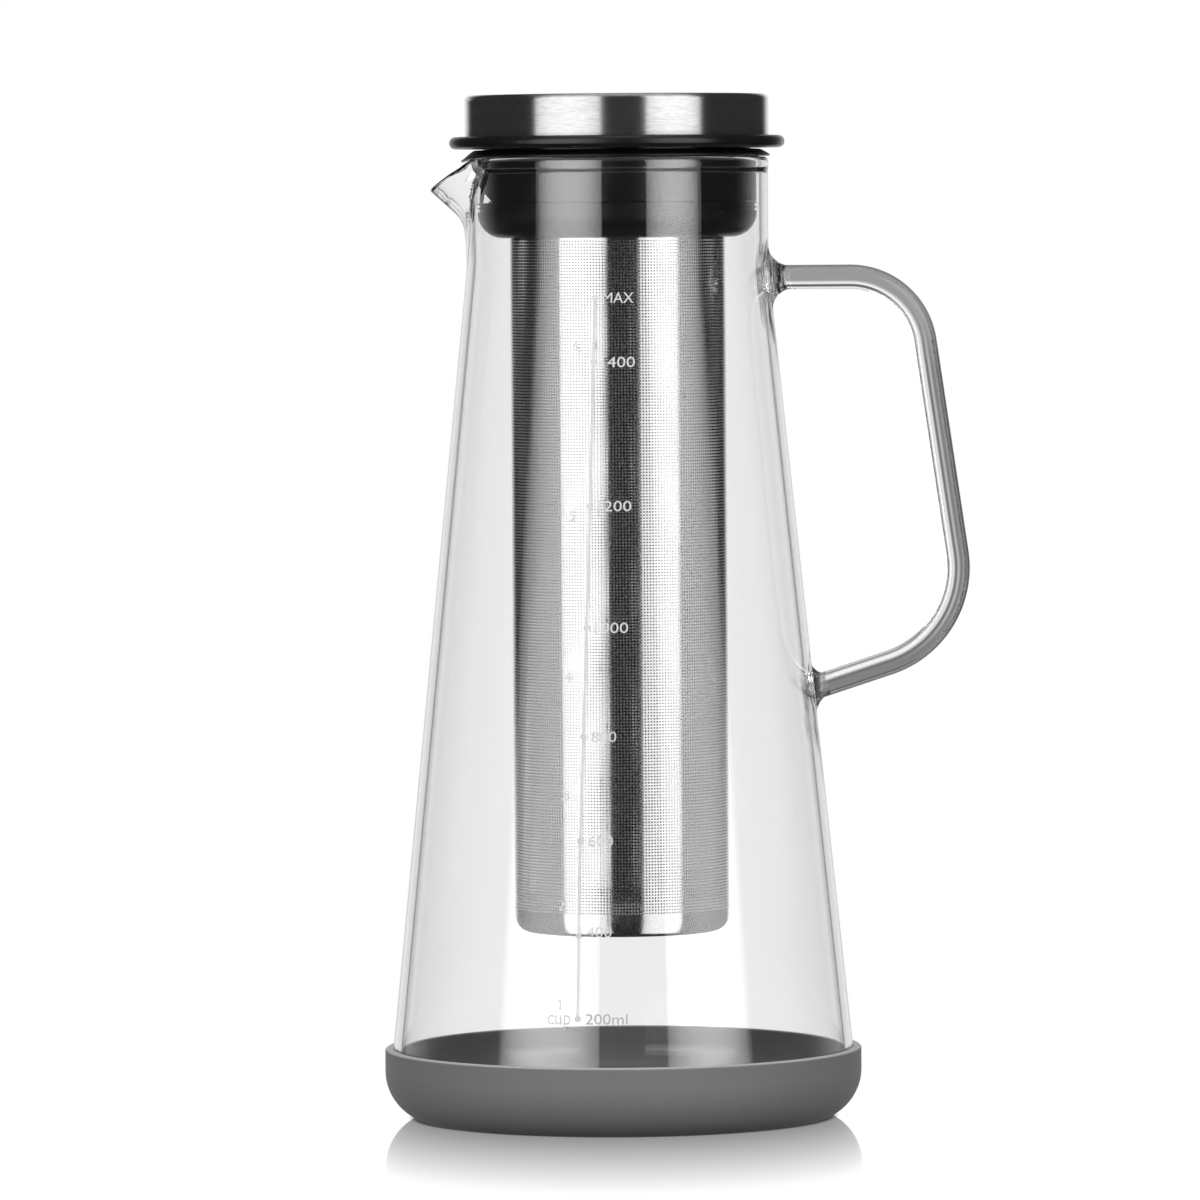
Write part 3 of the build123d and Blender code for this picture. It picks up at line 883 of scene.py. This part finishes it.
def filter_steel(tree, colour, dull, rough, **others):
    """Bright steel that is dull where dull is 1."""
    return tree.principled({
        "Base Color": tree.mix_colour(dull, colour, grey(DULL_TONE)),
        "Metallic": tree.minus(1.0, tree.times(dull, 0.9)),
        "Roughness": tree.plus(rough, tree.times(dull, 0.4)),
        **others,
    })


CUP_CORNER_TOP = 51.2 * MM, 51.3 * MM  # the heights where the cup's corner turns into its wall
CUP_LAP = 51.0 * MM, 60.0 * MM  # the heights between which the cup lies inside the sheet


def plain_steel_material():
    tree = material_tree("plain_steel_look")
    drawn = tree.stretched(tree.separate(tree.place()), (300.0, 300.0, 30.0))
    grain = tree.noise(drawn, 4.0, 3.0, 0.55)
    colour = tree.mix_colour(grain, grey(0.56), grey(0.66))
    # the part of the cup that the sheet laps over is dull, like the inside of the sheet
    _, radius, height = tree.round_axis()
    lap = tree.times(tree.above(height, CUP_LAP[0]), tree.below(height, CUP_LAP[1]))
    lapped = tree.times(tree.below(radius, INSIDE_RADIUS), lap)
    # the cup's corner is rolled tighter than its sheet: its wall's bands run almost to the foot
    across, along, up = tree.separate(tree.node("ShaderNodeNewGeometry", "Normal"))
    upright = tree.times(up, tree.smooth(height, *CUP_CORNER_TOP, 0.16, 1.0))
    normal = tree.combine(across, along, upright)
    normal = tree.node("ShaderNodeVectorMath", 0, {0: normal}, operation="NORMALIZE")
    rough = tree.smooth(grain, 0.3, 0.7, 0.10, 0.16)
    return tree.surface(filter_steel(tree, colour, lapped, rough, Normal=normal))


HOLE_PITCH = 0.765
HOLE_RADIUS = 0.23
SEAM_ANGLE = math.pi / 2
SEAM_HALF_WIDTH = 2.6
HOLES_FROM, HOLES_TO = 52.6, 223.2  # heights


def perforated_material():
    """Sheet steel with a square pattern of fine etched holes, plain along its seam and its ends."""
    tree = material_tree("etched_steel_look")
    angle, radius, height = tree.round_axis()
    columns = round(2 * math.pi * FILTER_RADIUS / HOLE_PITCH)
    # the 1000.5 keeps the whole turn above 0
    around = tree.plus(tree.times(angle, columns / (2 * math.pi)), 1000.5)
    upward = tree.plus(tree.times(height, 1 / (HOLE_PITCH * MM)), 0.5)
    across, along = (tree.minus(tree.math("FRACT", way), 0.5) for way in (around, upward))
    from_seam = tree.math("ABSOLUTE", tree.minus(angle, SEAM_ANGLE))
    solid = tree.most(
        tree.above(tree.length(across, along), HOLE_RADIUS / HOLE_PITCH),
        tree.below(from_seam, SEAM_HALF_WIDTH / FILTER_RADIUS),
        tree.below(height, HOLES_FROM * MM),
        tree.above(height, HOLES_TO * MM),
    )
    streaks = tree.combine(tree.times(angle, 12.0), 0.0, tree.times(height, 18.0))
    grain = tree.noise(streaks, 3.0, 3.0, 0.55)
    colour = tree.mix_colour(grain, grey(0.56), grey(0.64))
    inside = tree.below(radius, INSIDE_RADIUS)
    rough = tree.smooth(grain, 0.3, 0.7, 0.09, 0.13)
    return tree.surface(filter_steel(tree, colour, inside, rough, Alpha=solid))


BLACK = 0.004


def black_material(name, rough, grain):
    """Black rubber or moulding with a faint grain."""
    tree = material_tree(name)
    fine = tree.noise(tree.place(), grain, 3.0, 0.6)
    cloud = tree.noise(tree.place(), 60.0, 2.0, 0.5)
    return tree.surface(tree.principled({
        "Base Color": tree.mix_colour(cloud, grey(BLACK * 0.8), grey(BLACK * 1.25)),
        "Roughness": tree.smooth(cloud, 0.3, 0.7, rough - 0.04, rough + 0.04),
        "Normal": tree.bump(fine, 0.12, 0.0001),
    }))


BASE_EDGE = 17.3 * MM, 17.6 * MM  # the heights where the painted highlight on the base's upper edge begins


def base_material():
    """Matte grey silicone with a soft, powdery skin."""
    tree = material_tree("grey_silicone_look")
    fine = tree.noise(tree.place(), 2600.0, 3.0, 0.65)
    cloud = tree.noise(tree.place(), 45.0, 3.0, 0.5)
    speck = tree.smooth(tree.noise(tree.place(), 900.0, 2.0, 0.5), 0.68, 0.76)
    colour = tree.mix_colour(cloud, grey(0.118), grey(0.135))
    colour = tree.mix_colour(tree.times(speck, 0.25), colour, grey(0.2))
    # painted highlight: its upper edge is painted paler, as the light from above catches it
    edge = tree.smooth(tree.separate(tree.place())[2], *BASE_EDGE, 0.0, 0.9)
    return tree.surface(tree.principled({
        "Base Color": tree.mix_colour(edge, colour, grey(0.34)),
        "Roughness": 0.62,
        "Specular IOR Level": 0.35,
        "Sheen Weight": 0.12,
        "Sheen Roughness": 0.4,
        "Normal": tree.bump(fine, 0.25, 0.00008),
    }))


def ink_material():
    """Pale, slightly clouded ink, at the tone and density given for each part of the print."""
    tree = material_tree("print_ink_look")
    tone = tree.painted("tone")
    cloud = tree.noise(tree.place(), 700.0, 2.0, 0.5)
    plain = tree.combine(tone, tone, tone)
    return tree.surface(tree.principled({
        "Base Color": tree.mix_colour(tree.times(cloud, 0.2), plain, grey(0.75)),
        "Roughness": 0.6,
        "Alpha": tree.painted("cover"),
    }))


# ---- studio ----
VIEW_DISTANCE = 2300.0
AIM = (-5.1, 0.0, 131.4)
CAMERA_HEIGHT = 231.0
IMAGE_WIDTH = 304.8  # the width of the picture where the object stands
SENSOR_WIDTH = 36
ROLL = math.radians(0.42)


def aim_matrix(place, target):
    way = Vector(target) - Vector(place)
    return Matrix.Translation(place) @ way.to_track_quat("-Z", "Y").to_matrix().to_4x4()


def make_camera():
    data = bpy.data.cameras.new("camera")
    data.sensor_width = SENSOR_WIDTH
    data.lens = SENSOR_WIDTH * math.hypot(VIEW_DISTANCE, CAMERA_HEIGHT - AIM[2]) / IMAGE_WIDTH
    data.clip_start, data.clip_end = 0.05, 50
    camera = link_object("camera", data)
    place = Vector((AIM[0], -VIEW_DISTANCE, CAMERA_HEIGHT)) * MM
    camera.matrix_world = aim_matrix(place, Vector(AIM) * MM) @ Matrix.Rotation(-ROLL, 4, "Z")
    bpy.context.scene.camera = camera


# soft grey bands that glass shows beside and above the backdrop: their edges in degrees, from
# where each begins to where it ends, and their darkness
LEFT_BAND, LEFT_DARK = (-62, -54, -27, -22), 0.66
RIGHT_BAND, RIGHT_DARK = (33, 37, 44, 48), 0.6
OVER_BAND, OVER_DARK = (21, 25, 36, 42), 0.55
AMBIENT = 0.28  # how strongly the room itself lights matte surfaces


def make_world():
    world = bpy.data.worlds.new("studio")
    bpy.context.scene.world = world
    tree = Tree(world)
    rays = tree.rays()
    x, y, z = tree.generated()
    azimuth = tree.math("ARCTAN2", x, y)  # 0 along +Y, positive to the right
    height = tree.math("ARCSINE", z)
    # what glass shows of the studio: white, with the bands
    shade = tree.most(
        tree.times(tree.band_degrees(azimuth, *LEFT_BAND), LEFT_DARK),
        tree.times(tree.band_degrees(azimuth, *RIGHT_BAND), RIGHT_DARK),
        tree.times(tree.band_degrees(height, *OVER_BAND), OVER_DARK),
    )
    seen_through = tree.minus(1.0, shade)
    # what polished surfaces reflect: a dark room, a white backdrop and a pale ceiling
    from_back = tree.math("ARCCOSINE", y)
    back = tree.smooth_degrees(from_back, 34, 15, 0.0, 0.9)
    ceiling = tree.smooth_degrees(height, 48, 75, 0.0, 0.75)
    room = tree.smooth(rays["Transmission Depth"], 0.4, 0.6, 0.044, 0.022)
    mirrored = tree.plus(tree.most(back, ceiling), room)
    # what a ray sees that turned round once inside a single glass wall
    steep = tree.smooth_degrees(tree.math("ABSOLUTE", height), 10, 32, 0.0, 0.75)
    rear = tree.smooth_degrees(from_back, 75, 45, 0.0, 0.92)
    dip = tree.band_degrees(from_back, 26, 30, 34, 38)
    rear = tree.times(rear, tree.minus(1.0, tree.times(dip, 0.5)))
    turned_back = tree.plus(tree.most(rear, steep), 0.022)
    single = tree.below(rays["Transmission Depth"], 2.5)
    single = tree.times(single, rays["Is Transmission Ray"])
    mirrored = tree.mix(single, mirrored, turned_back)
    bounced = tree.above(rays["Glossy Depth"], 0.5)
    glass_ray = tree.times(rays["Is Transmission Ray"], tree.minus(1.0, bounced))
    mirror_ray = tree.most(rays["Is Glossy Ray"], rays["Is Transmission Ray"])
    level = tree.mix(tree.times(mirror_ray, bounced), AMBIENT, mirrored)
    level = tree.mix(glass_ray, level, seen_through)
    level = tree.mix(rays["Is Camera Ray"], level, 1.0)
    background = tree.node("ShaderNodeBackground", 0, {"Color": grey(1.0), "Strength": level})
    tree.surface(background, "ShaderNodeOutputWorld")


# distances from the axis and heights of the softboxes, in metres
CARD_DISTANCE, CARD_LOW, CARD_HIGH = 1.2, -0.5, 1.5
CARD_STRENGTH = 1.9


def studio_place(azimuth, distance, height=0.0):
    """A place at an azimuth in degrees from the camera's side."""
    angle = math.radians(azimuth)
    return Vector((math.sin(angle) * distance, -math.cos(angle) * distance, height))


def make_card(name, azimuth, half_angle):
    """A tall softbox that only mirrors and glass see."""
    reach = studio_place(azimuth + 90, CARD_DISTANCE * math.tan(math.radians(half_angle)))
    ends = ((-1, CARD_LOW), (1, CARD_LOW), (1, CARD_HIGH), (-1, CARD_HIGH))
    corners = [studio_place(azimuth, CARD_DISTANCE, up) + side * reach for side, up in ends]
    tree = material_tree(name + "_light")
    # the glass shows the softboxes at their full strength, and steel and moulding at a part of it
    depth = tree.rays()["Transmission Depth"]
    in_glass = tree.times(tree.above(depth, 0.5), tree.below(depth, 2.5))
    off = tree.minus(tree.times(tree.generated()[0], 2.0), 1.0)
    hump = tree.minus(1.0, tree.times(off, off))
    soft = tree.math("MULTIPLY_ADD", hump, 0.3 * CARD_STRENGTH, 0.78 * CARD_STRENGTH)
    soft = tree.times(soft, tree.smooth(depth, 2.4, 2.6, 1.0, 0.9))
    strong = tree.math("MULTIPLY_ADD", hump, 3.9 * CARD_STRENGTH, 0.8 * CARD_STRENGTH)
    material = tree.surface(tree.glow(tree.mix(in_glass, soft, strong)))
    material.cycles.emission_sampling = "NONE"
    corners = [tuple(corner / MM) for corner in corners]
    card = new_object(name, corners, [(0, 1, 2, 3)], material, smooth=False)
    hide_from(card, "camera", "diffuse", "shadow")


def make_lamp(name, azimuth, distance, height, width, tall, power):
    """A soft lamp that mirrors and glass don't see. Lengths are in metres."""
    data = bpy.data.lights.new(name, "AREA")
    data.shape = "RECTANGLE"
    data.size = width
    data.size_y = tall
    data.energy = power
    lamp = link_object(name, data)
    lamp.matrix_world = aim_matrix(studio_place(azimuth, distance, height), (0, 0, 0.13))
    hide_from(lamp, "glossy", "camera", "transmission")


FLOOR_RADIUS, FLOOR_SIDES, FLOOR_HEIGHT = 1000, 128, -0.1
CONTACT_SHADOW = 52.6 * MM, 55.1 * MM  # distances from the axis over which it fades
LIT_FLOOR = 53.1 * MM, 68.6 * MM  # distances over which the floor begins to light the base


def make_floor():
    """A white floor that shows the painted reflection of the base under it, and a painted contact
    shadow.
    """
    tree = material_tree("floor_white")
    rays = tree.rays()
    x, y, _ = tree.separate(tree.place())
    far = tree.length(x, y)
    shadow = tree.smooth(far, *CONTACT_SHADOW, 0.9, 0.0)
    below = tree.node("ShaderNodeBsdfTransparent", 0, {"Color": grey(1.0)})
    seen = tree.mix_shader(shadow, below, tree.glow(0.02))
    bounce = tree.glow(tree.smooth(far, *LIT_FLOOR, 0.06, 0.5))
    shader = tree.mix_shader(rays["Is Diffuse Ray"], seen, bounce)
    clear = tree.most(tree.above(rays["Glossy Depth"], 0.5), rays["Is Shadow Ray"])
    material = tree.surface(tree.mix_shader(clear, shader, below))
    material.cycles.emission_sampling = "NONE"
    rim = [(x, y, FLOOR_HEIGHT) for x, y in circle(FLOOR_RADIUS, FLOOR_SIDES)]
    floor = new_object("floor", rim, [tuple(range(FLOOR_SIDES))], material, smooth=False)


IMAGE_DROP = 0.0003  # in metres, between the floor and the painted reflection
IMAGE_SHARE, IMAGE_FADE = 0.81, -0.0604  # the mirrored share at the floor, and for each mm below


def make_painted_reflection(source):
    """A painted reflection: a glowing, upside-down copy of the base under the floor, standing in
    for its image in a polished floor, fading with its distance from the floor.
    """
    tree = material_tree("painted_reflection_look")
    depth = tree.times(tree.separate(tree.place())[2], -1 / MM)
    share = tree.math("MULTIPLY_ADD", depth, IMAGE_FADE, IMAGE_SHARE)
    share = tree.math("SMOOTH_MAX", share, 0.0, 0.06)
    material = tree.surface(tree.glow(tree.math("MULTIPLY_ADD", share, -0.895, 1.0)))
    material.cycles.emission_sampling = "NONE"
    mesh = source.data.copy()
    mesh.transform(Matrix.Scale(-1, 4, (0, 0, 1)) @ Matrix.Translation((0, 0, IMAGE_DROP)))
    mesh.materials.clear()
    mesh.materials.append(material)
    image = link_object("painted_floor_reflection", mesh)
    hide_from(image, "diffuse", "glossy", "shadow")


# ---- the scene ----
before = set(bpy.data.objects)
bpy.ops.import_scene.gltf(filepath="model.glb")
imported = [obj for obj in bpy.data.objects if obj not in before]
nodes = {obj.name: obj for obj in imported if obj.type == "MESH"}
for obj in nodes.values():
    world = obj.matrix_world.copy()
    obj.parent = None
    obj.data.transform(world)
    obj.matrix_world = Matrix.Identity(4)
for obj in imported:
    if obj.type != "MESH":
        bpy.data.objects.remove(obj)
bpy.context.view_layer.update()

LOOKS = {
    "silicone_base": base_material(),
    "filter_tube": perforated_material(),
    "filter_bottom_cup": plain_steel_material(),
    "filter_collar": black_material("collar_silicone_look", 0.3, 2500.0),
    "rim_gasket": black_material("gasket_silicone_look", 0.33, 2500.0),
    "lid_plug": black_material("moulding_look", 0.22, 1600.0),
    "drip_ring": black_material("ring_silicone_look", 0.26, 2500.0),
    "lid_cap": brushed_cap_material(),
}
LOOKS["filter_top_ring"] = LOOKS["filter_bottom_cup"]
LOOKS["lid_core"] = LOOKS["lid_plug"]
for name, look in LOOKS.items():
    for slot in nodes[name].material_slots:
        slot.material = look

glass = make_glass(glass_material())
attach(glass, "carafe")
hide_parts("glass_carafe", "glass_handle")

skirt = make_gasket(LOOKS["rim_gasket"])
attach(skirt, "gasket")
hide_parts("rim_gasket")

scale_print = make_print(ink_material())
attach(scale_print, "carafe")

make_floor()
make_painted_reflection(nodes["silicone_base"])
make_world()
make_card("card_left", -38, 26)
make_card("card_right", 44, 22)
make_lamp("lamp_left", -38, 1.2, 0.6, 1.1, 1.4, 14)
make_lamp("lamp_right", 44, 1.2, 0.6, 0.95, 1.4, 12)
make_lamp("lamp_top", 0, 0.2, 1.4, 1.2, 1.2, 8)
make_camera()

scene = bpy.context.scene
scene.view_settings.view_transform = "Standard"
